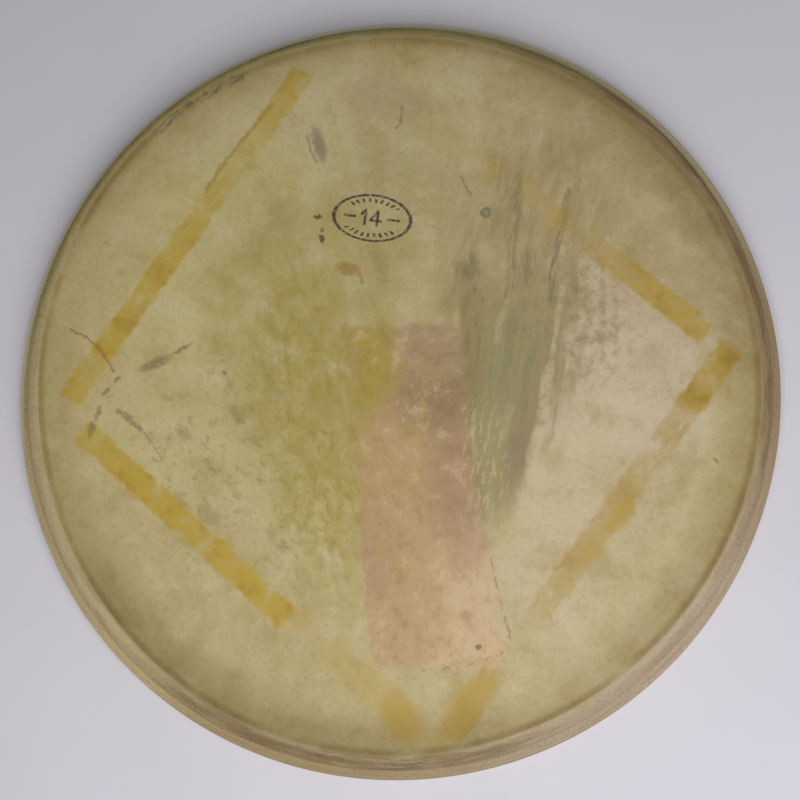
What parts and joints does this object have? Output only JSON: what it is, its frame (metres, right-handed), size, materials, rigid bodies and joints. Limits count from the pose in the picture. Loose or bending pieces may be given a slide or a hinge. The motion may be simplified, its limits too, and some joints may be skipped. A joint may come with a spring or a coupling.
{
  "type": "drum head",
  "caption": "Round calfskin drum head with a pulled collar, its hide lapped round a scarfed wooden flesh hoop; aged, taped and stained playing face.",
  "frame": {"origin": "on the head's axis, at the level of the lapped hoop's underside", "axes": "+Z along the head's axis, towards the playing side; +X through the middle of the hoop's scarf joint"},
  "size_m": [0.368, 0.368, 0.022],
  "materials": {
    "rawhide": "satin",
    "bent_wood": "satin",
    "hide_glue": "gloss",
    "brad_steel": "satin"
  },
  "bodies": {
    "root": {"calf_skin": "rawhide", "flesh_hoop": "bent_wood", "scarf_glue": "hide_glue", "scarf_brads": "brad_steel"}
  },
  "joints": []
}
